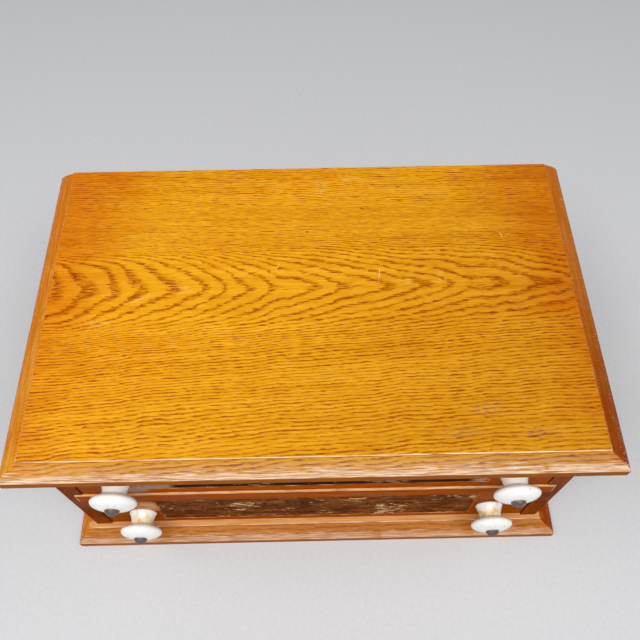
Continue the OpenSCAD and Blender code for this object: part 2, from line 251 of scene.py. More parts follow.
# The pale tones of bare wood, and the palest one on the sharpest arrises, also stand for painted glare and
# highlight lines
GOLDEN = dict(bright=srgb(246, 184, 50), late=srgb(230, 159, 20), mid=srgb(208, 130, 8),
              early=srgb(160, 75, 3), rubbed_and_glare=srgb(250, 222, 194), worn=srgb(158, 98, 46),
              cloud=srgb(236, 200, 170), end=srgb(208, 142, 38), worn_end=srgb(222, 172, 90),
              edge=srgb(255, 236, 172))
AMBER = dict(bright=srgb(226, 150, 58), late=srgb(205, 127, 38), mid=srgb(180, 100, 22),
             early=srgb(122, 57, 10), rubbed_and_glare=srgb(226, 186, 152), worn=srgb(165, 112, 77),
             cloud=srgb(230, 196, 170), end=srgb(190, 106, 36), worn_end=srgb(208, 140, 72),
             edge=srgb(252, 220, 176))
# RUSSET for the fronts and UMBER for the uprights are darker, redder oak, darkened further as painted shade
# of the top's overhang
RUSSET = dict(bright=srgb(184, 96, 14), late=srgb(160, 75, 6), mid=srgb(138, 58, 2),
              early=srgb(88, 30, 0), rubbed_and_glare=srgb(255, 206, 148), worn=srgb(226, 150, 84),
              cloud=srgb(226, 190, 160), end=srgb(150, 84, 30), worn_end=srgb(186, 120, 60),
              edge=srgb(255, 206, 148))
UMBER = dict(bright=srgb(150, 74, 16), late=srgb(132, 60, 10), mid=srgb(114, 47, 4),
             early=srgb(74, 26, 0), rubbed_and_glare=srgb(232, 178, 124), worn=srgb(196, 126, 70),
             cloud=srgb(226, 190, 160), end=srgb(132, 72, 26), worn_end=srgb(170, 106, 52),
             edge=srgb(232, 178, 124))


def year_rings(graph, along, across, through, place, cut, face):
    """Count of year rings at a place in a flat-sawn board, arches on the heart line and lines beside it,
    and how near the heart line is. face is where the board's shown face lies through the board."""
    wander = graph.noise(place, (120 * MM, 60 * MM, 60 * MM)) - 0.5
    offset = across - cut["heart"] + wander * (12 * MM)
    before, on, behind = cut["rings"]
    ring = on + graph.step(offset, 24 * MM, 90 * MM) * (behind - on)
    ring = ring + graph.step(offset, 0, -110 * MM) * (before - on)
    sideways = offset / cut["reach"]
    near = 1 / (1 + sideways * sideways)
    first, last = cut["legs"]
    legs = first + graph.step(along, *cut["ends"]) * (last - first)
    kept = cut["slope_left"]
    arches = along * (1 - along / (2 * cut["end"])) / cut["arch"] * (kept + near * (1 - kept))
    aside = graph.math("SQRT", offset * offset + cut["tip"] * cut["tip"])
    steep = legs + (1 - legs) * graph.step(aside, 0.4 * cut["reach"], cut["reach"])
    lines = (aside - cut["tip"]) * steep / ring
    depth = (through - face) * near / ring
    slow = graph.noise(place, (110 * MM, 60 * MM, 60 * MM)) - 0.5
    uneven = graph.noise(place, (40 * MM, 120 * MM, 120 * MM)) - 0.5
    ragged = graph.noise(place, (7 * MM, 0.9 * MM, 0.9 * MM)) - 0.5
    return arches + lines + depth + slow * 2.0 + uneven * 1.8 + ragged * 0.9, near


def oak_grain(graph, place, years, near, tones, contrast):
    """Colour of the year rings, and the shares of early wood and of open pores there."""
    ring = graph.math("FRACT", years)
    season = graph.chance(graph.math("FLOOR", years))
    early = graph.step(ring, 0.40 + season * 0.22 - near * 0.10, 0.06)
    early = graph.math("MAXIMUM", early, graph.step(ring, 0.92, 1.0))
    pores = graph.step(graph.noise(place, (9 * MM, 1.1 * MM, 1.1 * MM), detail=2.0), 0.36, 0.60)
    fibres = graph.noise(place, (14 * MM, 0.9 * MM, 0.9 * MM), detail=3.0, roughness=0.65) - 0.5
    bands = graph.noise(place, (200 * MM, 7 * MM, 7 * MM), detail=2.0) - 0.5
    lines = early * (0.14 + 0.66 * pores) * (0.50 + season * 0.8 * (1 - near) + near * 0.50)
    dark = 0.25 + bands * 0.35 + (fibres * 0.8 + lines) * contrast
    colour = graph.shade(dark, (0.0, tones["bright"]), (0.28, tones["late"]), (0.52, tones["mid"]),
                         (1.0, tones["early"]))
    cloud = graph.noise(place, (160 * MM, 80 * MM, 80 * MM), detail=3.0)
    colour = graph.mix(graph.step(cloud, 0.42, 0.75) * 0.35, colour, tones["cloud"], "MULTIPLY")
    return colour, early, pores


def oak_ends(graph, place, end_grain, tones, colour):
    """The colour with the strokes of sawn end grain over it."""
    strokes = graph.noise(place, (1.6 * MM, 45 * MM, 1.6 * MM), detail=3.0, roughness=0.6)
    ends = graph.shade(strokes, (0.36, tones["mid"]), (0.50, tones["end"]), (0.66, tones["worn_end"]))
    return graph.mix(end_grain * 0.8, colour, ends)


def oak_wear_and_painted_light(graph, place, breakup, tones, colour):
    """The colour with its arrises worn pale and painted as highlight lines, palest where they are sharpest,
    and soiling with painted shade in its hollows.
    """
    wear_and_highlight = graph.painted("wear_and_highlight")
    # Pale bare wood with painted glare and highlight, where the mesh marks it
    rubbed_and_glare = graph.step(wear_and_highlight + (breakup - 0.5) * 1.6, 0.35, 0.85) * graph.step(wear_and_highlight, 0.02, 0.15)
    streaks = graph.noise(place, (24 * MM, 0.7 * MM, 0.7 * MM), detail=3.0, roughness=0.6)
    bare = graph.shade(streaks, (0.36, tones["worn"]), (0.62, tones["rubbed_and_glare"]))
    # Painted highlight: the palest tone where an arris is sharpest
    bare = graph.mix(graph.step(wear_and_highlight, 0.95, 1.3) * graph.step(streaks, 0.30, 0.55), bare, tones["edge"])
    colour = graph.mix(rubbed_and_glare * 0.85, colour, bare)
    # Soiling and painted shade in the quirk of the moulding
    grimy_and_shaded = graph.painted("grime_and_shade") * graph.step(breakup, 0.25, 0.55)
    return graph.mix(grimy_and_shaded * 0.6, colour, tones["early"])


def oak(name, grain, cut, tones, face=0.0, gloss=0.05, contrast=1.0, marks_and_light=None):
    """Varnished oak with its grain along the first axis of grain, across the second, through the third.
    gloss is what the varnish keeps on level faces: upright ones and end grain have gone dull."""
    made, graph, shader = new_material(name)
    along, across, through = graph.axes(grain)
    place = graph.join(along, across, through)
    years, near = year_rings(graph, along, across, through, place, cut, face)
    colour, early, pores = oak_grain(graph, place, years, near, tones, contrast)
    end_grain = graph.step(graph.math("ABSOLUTE", graph.facing(grain[0])), 0.04, 0.32)
    colour = oak_ends(graph, place, end_grain, tones, colour)
    if marks_and_light:
        colour = marks_and_light(graph, along, across, place, colour)
    breakup = graph.noise(place, (16 * MM, 1.3 * MM, 1.3 * MM), detail=4.0, roughness=0.6)
    colour = oak_wear_and_painted_light(graph, place, breakup, tones, colour)
    roughness = 0.24 + pores * early * 0.14 + (breakup - 0.5) * 0.12
    height = 1 - pores * (0.25 + 0.75 * early)
    level = graph.step(graph.facing("z"), 0.15, 0.70) * (1 - end_grain * 0.85)
    finish_surface(graph, shader, colour, roughness, height, 0.05 * MM, specular=DULL + level * gloss)
    return made


# Marks on the top board in mm: middle, half length, half width and turn in degrees
SCRATCHES = [(58, 26, 9, 0.45, 82), (168, 66, 5, 0.4, 105), (-29, 36, 5.5, 0.45, 58),
             (-146, 5, 13, 0.35, 22)]
DENTS = [(81, 123, 3.5, 1.0, -20), (82, 107, 4.0, 0.9, 12), (47, 98, 2.2, 1.4, 0), (-3, 73, 1.8, 1.2, 0),
         (62, 63, 1.6, 1.0, 0), (190, 60, 1.3, 1.2, 0), (-174, -107, 3.0, 0.9, 30)]
RUBBED_PATCHES = [(38, 134, 13, 8, 0), (10, 124, 8, 12, 0), (-109, 15, 9, 6, 0), (-178, -17, 16, 5, 8),
                  (80, 20, 8, 6, 0), (110, 22, 6, 7, 0)]
GREYED_PATCHES = [(134, -99, 24, 7, 0), (173, -119, 24, 6, 0), (114, -118, 20, 6, 0), (-62, -34, 4, 4, 0)]


def spot(graph, along, across, x, y, half_length, half_width, turn):
    """1 in the middle of a mark on a board, falling to 0 at its rim."""
    ahead, aside = math.cos(math.radians(turn)), math.sin(math.radians(turn))
    right, up = along - x * MM, across - y * MM
    length = (right * ahead + up * aside) / (half_length * MM)
    width = (up * ahead - right * aside) / (half_width * MM)
    return graph.step(length * length + width * width, 1.0, 0.0)


def edge_stain_shade_and_glints(graph, node, along, across, place, colour, upright):
    """Painted shade and stain on a board's edges: painted shade a little on the round of the moulding, most
    on the upright faces before and behind; stain and painted shade on the right end, more towards the
    front, with painted glints as pale specks in its open grain. upright is the painted shade of the upright
    faces."""
    low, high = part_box(node)
    turn = graph.facing("y")
    # Painted shade on faces as they turn to the front, a little on the round of the moulding
    colour = graph.mix(graph.step(turn, -0.08, -0.30), colour, srgb(226, 226, 236), "MULTIPLY")
    # Painted shade: the upright faces before and behind take the given colour
    colour = graph.mix(graph.step(graph.math("ABSOLUTE", turn), 0.80, 0.96) * 0.85, colour, upright)
    # The right end darker towards the front: stain and painted shade together
    from_end, from_front = high.x - along, across - low.y
    share = graph.step(from_end, EDGE_W + 0.5 * MM, EDGE_W - 1.5 * MM)
    share = share * graph.step(from_front - from_end, -0.4 * MM, 0.4 * MM)
    share = share * (0.1 + 0.9 * graph.step(from_front, 0.65 * (high.y - low.y), EDGE_W))
    colour = graph.mix(share, colour, srgb(190, 140, 110), "MULTIPLY")
    # Painted glints: pale specks in the open end grain near the right end's front
    glints = graph.step(graph.noise(place, (0.8 * MM, 1.6 * MM, 0.8 * MM), detail=1.0), 0.66, 0.76)
    glints = glints * graph.step(from_end, 9 * MM, 6 * MM) * graph.step(from_front, 110 * MM, 40 * MM)
    return graph.mix(share * glints * 0.4, colour, srgb(226, 190, 166))


def top_marks_and_shade(graph, along, across, place, colour):
    """The top's tones: darker towards its ends and its right front, the painted shade, stain and glints of
    its edges, worn pale and greyed patches, dents and scratches."""
    mottle = graph.noise(place, (60 * MM, 30 * MM, 30 * MM), detail=4.0)
    smear = graph.noise(place, (9 * MM, 3 * MM, 3 * MM), detail=4.0, roughness=0.65)
    grit = graph.noise(place, (5 * MM, 0.8 * MM, 0.8 * MM), detail=3.0)
    out = graph.math("ABSOLUTE", along) + across * 0.25 + (mottle - 0.5) * (120 * MM)
    colour = graph.mix(graph.step(out, 150 * MM, 240 * MM), colour, srgb(238, 202, 172), "MULTIPLY")
    right_front = (along - across + (mottle - 0.5) * (160 * MM)) * 0.5
    colour = graph.mix(graph.step(right_front, -90 * MM, 160 * MM), colour, srgb(226, 222, 240), "MULTIPLY")
    # The given colour is the painted shade of the top's upright edge faces
    colour = edge_stain_shade_and_glints(graph, "top_board", along, across, place, colour, upright=srgb(152, 78, 14))
    for mark in RUBBED_PATCHES:
        share = spot(graph, along, across, *mark) * graph.step(smear, 0.44, 0.62) * (0.3 + grit)
        colour = graph.mix(share * 0.35, colour, srgb(250, 212, 118))
    for mark in GREYED_PATCHES:
        share = spot(graph, along, across, *mark) * graph.step(grit, 0.48, 0.62)
        colour = graph.mix(share * 0.6, colour, srgb(150, 104, 76))
    for mark in DENTS:
        colour = graph.mix(spot(graph, along, across, *mark) * 0.7, colour, srgb(120, 52, 6))
    for mark in SCRATCHES:
        share = spot(graph, along, across, *mark) * graph.step(grit, 0.30, 0.50)
        colour = graph.mix(share * 0.85, colour, srgb(255, 228, 150))
    return colour


def base_painted_light_and_stain(graph, along, across, place, colour):
    """The ledge of the base before the drawers painted paler, in streaks, as light falling on it, and the
    painted shade and stain of its edges.
    """
    front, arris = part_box("lower_drawer_front")[0].y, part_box("base_board")[0].y + EDGE_W
    streak = graph.noise(place, (40 * MM, 1.2 * MM, 1.2 * MM), detail=3.0)
    lit_strip = graph.step(across, front + 3 * MM, front) * graph.step(across, arris - 0.5 * MM, arris)
    lit_strip = lit_strip * graph.step(graph.facing("z"), 0.90, 0.98)
    # Painted light: the level ledge before the drawers made paler in streaks
    colour = graph.mix(lit_strip * (0.35 + 0.5 * graph.step(streak, 0.35, 0.65)), colour, srgb(228, 174, 114))
    # The given colour is the painted shade of the base's upright edge faces
    return edge_stain_shade_and_glints(graph, "base_board", along, across, place, colour, upright=srgb(158, 86, 34))


def front_marks(graph, along, across, place, colour):
    """Patches by the left ends of the labels that hands have worn: grey low on the upper drawer, pale
    higher up on the lower one."""
    smear = graph.noise(place, (16 * MM, 5 * MM, 5 * MM), detail=4.0, roughness=0.65)
    for level, rise, tone in (("upper", 0.05, srgb(168, 146, 130)), ("lower", 0.70, srgb(214, 166, 116))):
        low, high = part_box(level + "_label")
        middle_x, middle_z = low.x - 9 * MM, low.z + rise * (high.z - low.z)
        mark = (middle_x / MM, middle_z / MM, 18, 20, 0)
        share = spot(graph, along, across, *mark) * graph.step(smear, 0.28, 0.52)
        colour = graph.mix(share * 0.9, colour, tone)
    return colour


def plain_wood(name, grain, light=srgb(206, 164, 108), dark=srgb(150, 100, 54)):
    """Unvarnished, aged softwood inside the case and the drawers."""
    made, graph, shader = new_material(name)
    place = graph.join(*graph.axes(grain))
    bands = graph.noise(place, (180 * MM, 4 * MM, 9 * MM), detail=3.0)
    fibres = graph.noise(place, (22 * MM, 0.6 * MM, 0.6 * MM), detail=2.0)
    stain = graph.noise(place, (70 * MM, 50 * MM, 50 * MM), detail=4.0)
    share = graph.step(bands, 0.35, 0.68) * 0.55 + (fibres - 0.35) * 0.6
    colour = graph.shade(share, (0.0, light), (1.0, dark))
    colour = graph.mix(graph.step(stain, 0.5, 0.8) * 0.5, colour, dark, "MULTIPLY")
    colour = graph.mix(graph.painted("wear_and_highlight") * graph.step(stain, 0.35, 0.6) * 0.4, colour, light)
    roughness = 0.62 + (fibres - 0.5) * 0.3
    finish_surface(graph, shader, colour, roughness, fibres, 0.1 * MM, specular=0.25)
    return made


# Porcelain, iron and labels


def porcelain(name, front, stain):
    """White glaze with specks and fine crazing, stained on the neck, bare where it is chipped. front is
    where the drawer front lies, stain the share of the stains that this knob shows."""
    made, graph, shader = new_material(name)
    x, y, z = graph.axes()
    place = graph.join(x, y, z)
    out = front - y
    cloud = graph.noise(place, (7 * MM, 7 * MM, 7 * MM), detail=3.0)
    fine = graph.noise(place, (1.6 * MM, 1.6 * MM, 1.6 * MM), detail=2.0)
    colour = graph.shade(cloud, (0.25, srgb(242, 241, 237)), (0.75, srgb(248, 248, 246)))
    neck = graph.step(out, 3 * MM, 8 * MM) * graph.step(out, 14.5 * MM, 12.5 * MM)
    stained = neck * graph.step(cloud, 0.28, 0.55) * stain
    colour = graph.mix(stained * 0.8, colour, srgb(238, 216, 162))
    yellowed = neck * graph.step(cloud, 0.54, 0.66) * stain
    colour = graph.mix(yellowed * 0.75, colour, srgb(198, 178, 84))
    crevice = graph.step(graph.math("ABSOLUTE", out - 13 * MM), 0.9 * MM, 0.2 * MM)
    colour = graph.mix(crevice * graph.step(fine, 0.35, 0.6) * stain * 0.6, colour, srgb(150, 124, 92))
    speck = graph.step(graph.noise(place, (2.2 * MM, 2.2 * MM, 2.2 * MM), detail=0.0), 0.80, 0.83)
    colour = graph.mix(speck * 0.8, colour, srgb(150, 112, 70))
    crazing = graph.step(graph.cracks(place, 4 * MM), 0.03, 0.0)
    colour = graph.mix(crazing * 0.12 * (0.3 + stain), colour, srgb(160, 130, 96))
    chip = graph.painted("chip")
    biscuit = graph.shade(fine, (0.3, srgb(196, 170, 96)), (0.7, srgb(226, 214, 186)))
    colour = graph.mix(chip * 0.9, colour, biscuit)
    roughness = 0.13 + chip * 0.55 + (cloud - 0.5) * 0.06
    finish_surface(graph, shader, colour, roughness, fine, 0.02 * MM, specular=0.5)
    return made


def iron(name):
    """Dull blackened iron with brown rust in its hollows."""
    made, graph, shader = new_material(name)
    place = graph.join(*graph.axes())
    grain = graph.noise(place, (1.1 * MM, 1.1 * MM, 1.1 * MM), detail=4.0, roughness=0.6)
    rust = graph.step(graph.noise(place, (3 * MM, 3 * MM, 3 * MM), detail=3.0), 0.45, 0.65)
    colour = graph.shade(grain, (0.3, srgb(78, 70, 66)), (0.7, srgb(134, 122, 114)))
    colour = graph.mix(rust * 0.55, colour, srgb(106, 76, 58))
    graph.feed(shader.inputs["Metallic"], 0.55)
    finish_surface(graph, shader, colour, 0.30 + grain * 0.25, grain, 0.08 * MM)
    return made


def label_paper(name, ground, scuffed, flaked, greyed=()):
    """A dark glazed label, scuffed in streaks, its pale ground showing where it has flaked. greyed lists
    spans, each from a place along the label to where its face is worn grey."""
    made, graph, shader = new_material(name)
    x, y, z = graph.axes("xzy")
    place = graph.join(x, y, z)
    cloud = graph.noise(place, (22 * MM, 9 * MM, 9 * MM), detail=5.0, roughness=0.62)
    streak = graph.noise(place, (14 * MM, 1.2 * MM, 1.2 * MM), detail=3.0, roughness=0.6)
    fine = graph.noise(place, (1.5 * MM, 0.9 * MM, 0.9 * MM), detail=3.0)
    colour = graph.mix(graph.step(cloud, 0.40, 0.70) * 0.8, ground, scuffed)
    colour = graph.mix(graph.step(streak, 0.54, 0.70) * 0.7, colour, scuffed)
    colour = graph.mix(graph.step(streak, 0.46, 0.32) * 0.6, colour, ground, "MULTIPLY")
    mottle = graph.noise(place, (5 * MM, 1.8 * MM, 1.8 * MM), detail=4.0, roughness=0.65)
    colour = graph.mix(graph.step(mottle, 0.50, 0.36) * 0.7, colour, ground, "MULTIPLY")
    colour = graph.mix(graph.step(mottle, 0.54, 0.66) * 0.5, colour, scuffed)
    for start, end in greyed:
        share = graph.step(x, start, end) * graph.step(cloud, 0.25, 0.45)
        colour = graph.mix(share * 0.9, colour, srgb(164, 140, 124))
    bare = graph.step(graph.painted("flake") + (fine - 0.5) * 0.9, 0.42, 0.62)
    colour = graph.mix(bare, colour, graph.shade(fine, (0.3, scuffed), (0.62, flaked)))
    roughness = 0.40 + bare * 0.35 + (streak - 0.5) * 0.3
    finish_surface(graph, shader, colour, roughness, cloud + fine * 0.4, 0.1 * MM, specular=DULL)
    return made


# Pieces

WELD = 0.001 * MM
LEVEL_ANGLE = math.radians(0.5)
ARRIS_ANGLE = math.radians(30)
SMOOTH_ANGLE = math.radians(40)
# An edge is eased where it is longer than this many times the easing
LONG_EDGE = 10


def add_piece(name, mesh, material, node):
    """A new piece that stands for a node, rides on its body and takes its material slot."""
    piece = bpy.data.objects.new(name, mesh)
    bpy.context.scene.collection.objects.link(piece)
    mesh.materials.clear()
    mesh.materials.append(material)
    mesh.shade_smooth()
    mesh.set_sharp_from_angle(angle=SMOOTH_ANGLE)
    evened = piece.modifiers.new("even_shading", "WEIGHTED_NORMAL")
    evened.keep_sharp = True
    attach(piece, frame["nodes"][node]["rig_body"])
    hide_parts(node)
    return piece


def dress(node, material, ease=0.6 * MM, rub_and_highlight=0.4):
    """A copy of a piece with its long arrises eased, each marked with how far hands and cloths have worn
    it, with painted highlight. Faces with many corners are split, and the solid's own normals are dropped,
    so that it shades evenly."""
    source = frame["nodes"][node]
    bm = bmesh.new()
    bm.from_mesh(source.data)
    bmesh.ops.remove_doubles(bm, verts=bm.verts, dist=WELD)
    bmesh.ops.dissolve_limit(bm, angle_limit=LEVEL_ANGLE, verts=bm.verts, edges=bm.edges)
    wear_and_highlight = bm.loops.layers.float.new("wear_and_highlight")
    arrises = [
        edge for edge in bm.edges
        if edge.is_convex and edge.calc_length() > LONG_EDGE * ease and edge.calc_face_angle() > ARRIS_ANGLE
    ]
    eased = bmesh.ops.bevel(bm, geom=arrises, offset=ease, segments=2, profile=0.5, affect="EDGES",
                            clamp_overlap=False)
    for face in eased["faces"]:
        for corner in face.loops:
            corner[wear_and_highlight] = rub_and_highlight
    bmesh.ops.triangulate(bm, faces=[face for face in bm.faces if len(face.verts) > 4])
    mesh = bpy.data.meshes.new(node + "_eased")
    bm.to_mesh(mesh)
    bm.free()
    old_normals = mesh.attributes.get("custom_normal")
    if old_normals:
        mesh.attributes.remove(old_normals)
    return add_piece(node + "_eased", mesh, material, node)


def skin(bm, rows):
    """Quads between each row of points and the next."""
    for first, second in zip(rows, rows[1:]):
        for k in range(len(first) - 1):
            bm.faces.new((first[k], first[k + 1], second[k + 1], second[k]))


# Moulded boards

EDGE_W = 13.5 * MM
EDGE_STEP = 1.5 * MM
EDGE_DROP = 8.0 * MM
EDGE_SLOPE = math.radians(10)
FIELD_INSET = 18 * MM
ARRIS_R = 1.0 * MM
QUIRK_R = 0.25 * MM
NOSE_R = 0.8 * MM
HEEL_R = 0.7 * MM
STATION = 4 * MM
REAR_EASE = 0.4 * MM
# Share of the front's worn paleness and painted highlight that the two ends show
END_WEAR_AND_HIGHLIGHT = 0.4
# Unevenness along a board of its eased radii, worn paleness and painted highlight: how much, and how many
# cells a station
LONG_WAVER = (0.45, 0.22)
SHORT_WAVER = (0.20, 0.90)


def eased_corner(before, corner, after, radius, steps=4):
    """Points round a corner that a hand has eased, each with its share of the turn."""
    start = corner + (before - corner).normalized() * radius
    end = corner + (after - corner).normalized() * radius
    points = []
    for s in (k / steps for k in range(steps + 1)):
        point = start * (1 - s) ** 2 + corner * 2 * s * (1 - s) + end * s ** 2
        points.append((point, 4 * s * (1 - s)))
    return points


def moulding_round(thick, count=12):
    """The round of the moulding, from the foot of its step out to the nose."""
    width, fall = EDGE_W, EDGE_DROP - EDGE_STEP
    last_slope = 2 * math.atan2(fall, width) - EDGE_SLOPE
    radius = math.hypot(width, fall) / (2 * math.sin((last_slope - EDGE_SLOPE) / 2))
    slopes = [EDGE_SLOPE + (last_slope - EDGE_SLOPE) * k / count for k in range(count + 1)]
    top = thick - EDGE_STEP
    return [
        Vector((EDGE_W - radius * (math.sin(a) - math.sin(EDGE_SLOPE)),
                top - radius * (math.cos(EDGE_SLOPE) - math.cos(a))))
        for a in slopes
    ]


def rub_and_glare_of_round(share):
    """Worn paleness and painted glare over the moulding: its inner part keeps its varnish, its outer part
    is worn bare and painted pale as a reflection.
    """
    return 0.2 + 0.7 * min(1.0, max(0.0, (share - 0.25) / 0.5))


def edge_section(thick, worn):
    """Half section of a moulded edge as (inset, height) points, with the worn paleness and painted
    highlight, and the soiling and painted shade, at each.
    """
    inner, arris = Vector((FIELD_INSET, thick)), Vector((EDGE_W, thick))
    sweep = moulding_round(thick)
    quirk, nose = sweep[0], sweep[-1]
    heel, under = Vector((0, 0)), Vector((FIELD_INSET, 0))
    section = [(inner, 0.0, 0.0)]
    # The arris is worn and painted as a bright highlight line
    section += [(p, 1.5 * turn, 0.0) for p, turn in eased_corner(inner, arris, quirk, ARRIS_R * worn)]
    # The quirk is soiled and darkened with painted shade
    section += [(p, 0.0, turn) for p, turn in eased_corner(arris, quirk, sweep[1], QUIRK_R)]
    section += [(p, rub_and_glare_of_round(k / len(sweep)), 0.0) for k, p in enumerate(sweep[1:-1], 1)]
    # The nose is worn and painted as a pale highlight line
    rounded = eased_corner(sweep[-2], nose, heel, NOSE_R * worn)
    for k, (p, turn) in enumerate(rounded):
        rub_and_highlight = 0.9 - 0.9 * k / (len(rounded) - 1) + 0.6 * turn
        section.append((p, rub_and_highlight, 0.0))
    section += [(p, 0.3 * turn, 0.0) for p, turn in eased_corner(nose, heel, under, HEEL_R * worn)]
    section += [(under, 0.0, 0.0)]
    return section


def moulded_board(node, material, seed, holes=()):
    """A board with its moulding run round the front and both ends, its arrises worn and painted with
    highlights unevenly.
    """
    low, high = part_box(node)
    thick = high.z - low.z
    bm = bmesh.new()
    wear_and_highlight = bm.verts.layers.float.new("wear_and_highlight")
    grime_and_shade = bm.verts.layers.float.new("grime_and_shade")
    deep = round((high.y - low.y) / STATION)
    wide = round((high.x - low.x) / STATION)

    def row(station, place):
        worn = 1.0
        for layer, (share, cells) in ((0, LONG_WAVER), (3, SHORT_WAVER)):
            worn += share * noise.noise(Vector((station * cells, seed, layer)))
        on_front = deep <= station <= deep + wide
        points = []
        for (inset, height), rub_and_highlight, dirt_and_shade in edge_section(thick, worn):
            point = bm.verts.new(place(inset) + Vector((0, 0, low.z + height)))
            point[wear_and_highlight] = rub_and_highlight * min(1.0, worn) * (1.0 if on_front else END_WEAR_AND_HIGHLIGHT)
            point[grime_and_shade] = dirt_and_shade
            points.append(point)
        return points

    def left_end(share):
        return lambda u: Vector((low.x + u, high.y + (low.y + u - high.y) * share, 0))

    def front(share):
        return lambda u: Vector((low.x + u + (high.x - low.x - 2 * u) * share, low.y + u, 0))

    def right_end(share):
        return lambda u: Vector((high.x - u, low.y + u + (high.y - low.y - u) * share, 0))

    places = [left_end(k / deep) for k in range(deep + 1)]
    places += [front(k / wide) for k in range(1, wide + 1)]
    places += [right_end(k / deep) for k in range(1, deep + 1)]
    rows = [row(k, place) for k, place in enumerate(places)]
    skin(bm, rows)

    left, middle, right = rows[: deep + 1], rows[deep: deep + wide + 1], rows[deep + wide:]
    faces_across = []
    for side in (0, -1):
        lines = [[across[side] for across in middle]]
        for k in range(1, deep + 1):
            first, last = left[deep - k][side], right[k][side]
            inside = [bm.verts.new(first.co.lerp(last.co, i / wide)) for i in range(1, wide)]
            lines.append([first, *inside, last])
        skin(bm, lines)
        faces_across.append(lines[-1])
    top_rear, under_rear = faces_across
    rear = bm.faces.new(left[0] + under_rear[1:-1] + right[-1][::-1] + top_rear[1:-1][::-1])
    bmesh.ops.recalc_face_normals(bm, faces=bm.faces)
    bmesh.ops.bevel(bm, geom=list(rear.edges), offset=REAR_EASE, segments=2, profile=0.5, affect="EDGES",
                    clamp_overlap=False)
    mesh = bpy.data.meshes.new(node + "_moulded")
    bm.to_mesh(mesh)
    bm.free()
    return add_piece(node + "_moulded", drilled(mesh, holes) if holes else mesh, material, node)


SCREW_HEAD_R = 4.2 * MM
SCREW_HOLE_R = 4.35 * MM
SCREW_HOLE_DEPTH = 4 * MM


def base_screw_places():
    """Middles of the base screws: under the middle of each side, at both ends of their row and halfway."""
    low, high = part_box("base_screws")
    first, last = low.y + SCREW_HEAD_R, high.y - SCREW_HEAD_R
    places = []
    for side in SIDES:
        inner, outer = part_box(side + "_side")
        x = (inner.x + outer.x) / 2
        places += [Vector((x, y, 0)) for y in (first, (first + last) / 2, last)]
    return places


def drilled(mesh, holes):
    """The mesh with a round hole cut up into its underside at each place."""
    bm = bmesh.new()
    for place in holes:
        bmesh.ops.create_cone(bm, cap_ends=True, segments=48, radius1=SCREW_HOLE_R, radius2=SCREW_HOLE_R,
                              depth=2 * SCREW_HOLE_DEPTH, matrix=Matrix.Translation(place))
    bits = bpy.data.meshes.new("drill")
    bm.to_mesh(bits)
    bm.free()
    drill = bpy.data.objects.new("drill", bits)
    board = bpy.data.objects.new("board", mesh)
    for each in (drill, board):
        bpy.context.scene.collection.objects.link(each)
    cut = board.modifiers.new("holes", "BOOLEAN")
    cut.operation = "DIFFERENCE"
    cut.object = drill
    made = bpy.data.meshes.new_from_object(board.evaluated_get(bpy.context.evaluated_depsgraph_get()))
    for each in (drill, board):
        bpy.data.objects.remove(each)
    return made


# Knobs

HEAD_MIDDLE = 18.6 * MM
HEAD_HALF = 6.8 * MM
FOOT_R = 12.7 * MM
FOOT_ROUND = 1.6 * MM
NECK_R = 9.8 * MM
BOLT_SEAT_R = 6.2 * MM
KNOB_SEGMENTS = 96
CHIP_DEPTH = 1.1 * MM


def knob_outline(head_r):
    """Half section of a knob as (radius, distance out from the drawer front) points."""
    foot = [
        (FOOT_R - FOOT_ROUND * (1 - math.cos(a)), FOOT_ROUND * (1 + math.sin(a)))
        for a in (math.radians(15 * k) for k in range(-6, 1))
    ]
    neck_turn, seat_turn = -math.acos(NECK_R / head_r), math.acos(BOLT_SEAT_R / head_r)
    neck_end = HEAD_MIDDLE + HEAD_HALF * math.sin(neck_turn)
    neck = [
        (NECK_R + (FOOT_R - NECK_R) * (1 - s) ** 2, FOOT_ROUND + (neck_end - FOOT_ROUND) * s)
        for s in (k / 16 for k in range(1, 16))
    ]
    head = [
        (head_r * math.cos(a), HEAD_MIDDLE + HEAD_HALF * math.sin(a))
        for a in (neck_turn + (seat_turn - neck_turn) * k / 30 for k in range(31))
    ]
    return [(0.0, 0.0), *foot, *neck, *head, (0.0, head[-1][1])]


def chip_at(spot, out, seed):
    """How far the rim of the foot is chipped there, 0 to 1."""
    on_rim = max(0.0, 1 - abs(out - 2 * MM) / (2.6 * MM))
    broken = noise.noise(Vector((spot.x / (5 * MM), seed, spot.z / (5 * MM))))
    return on_rim * min(1.0, max(0.0, (broken - 0.22) / 0.15))


def knob(level, side, material, chipped, seed):
    """A turned porcelain knob, a little out of round, its foot chipped by that share."""
    node = f"{level}_{side}_knob"
    low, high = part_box(node)
    middle = Vector(((low.x + high.x) / 2, high.y, (low.z + high.z) / 2))
    bm = bmesh.new()
    chip = bm.verts.layers.float.new("chip")
    rows = []
    for k in range(KNOB_SEGMENTS):
        turn = math.tau * k / KNOB_SEGMENTS
        row = []
        for radius, out in knob_outline((high.x - low.x) / 2):
            spot = Vector((radius * math.cos(turn), -out, radius * math.sin(turn)))
            broken = chip_at(spot, out, seed) * chipped
            uneven = 1 + 0.008 * noise.noise(spot / (15 * MM) + Vector((seed, 0, 0)))
            uneven -= broken * CHIP_DEPTH / max(radius, NECK_R)
            point = bm.verts.new(middle + Vector((spot.x * uneven, spot.y, spot.z * uneven)))
            point[chip] = broken
            row.append(point)
        rows.append(row)
    skin(bm, [*rows, rows[0]])
    bmesh.ops.remove_doubles(bm, verts=bm.verts, dist=WELD)
    bmesh.ops.recalc_face_normals(bm, faces=bm.faces)
    mesh = bpy.data.meshes.new(node + "_turned")
    bm.to_mesh(mesh)
    bm.free()
    return add_piece(node + "_turned", mesh, material, node)


# Labels

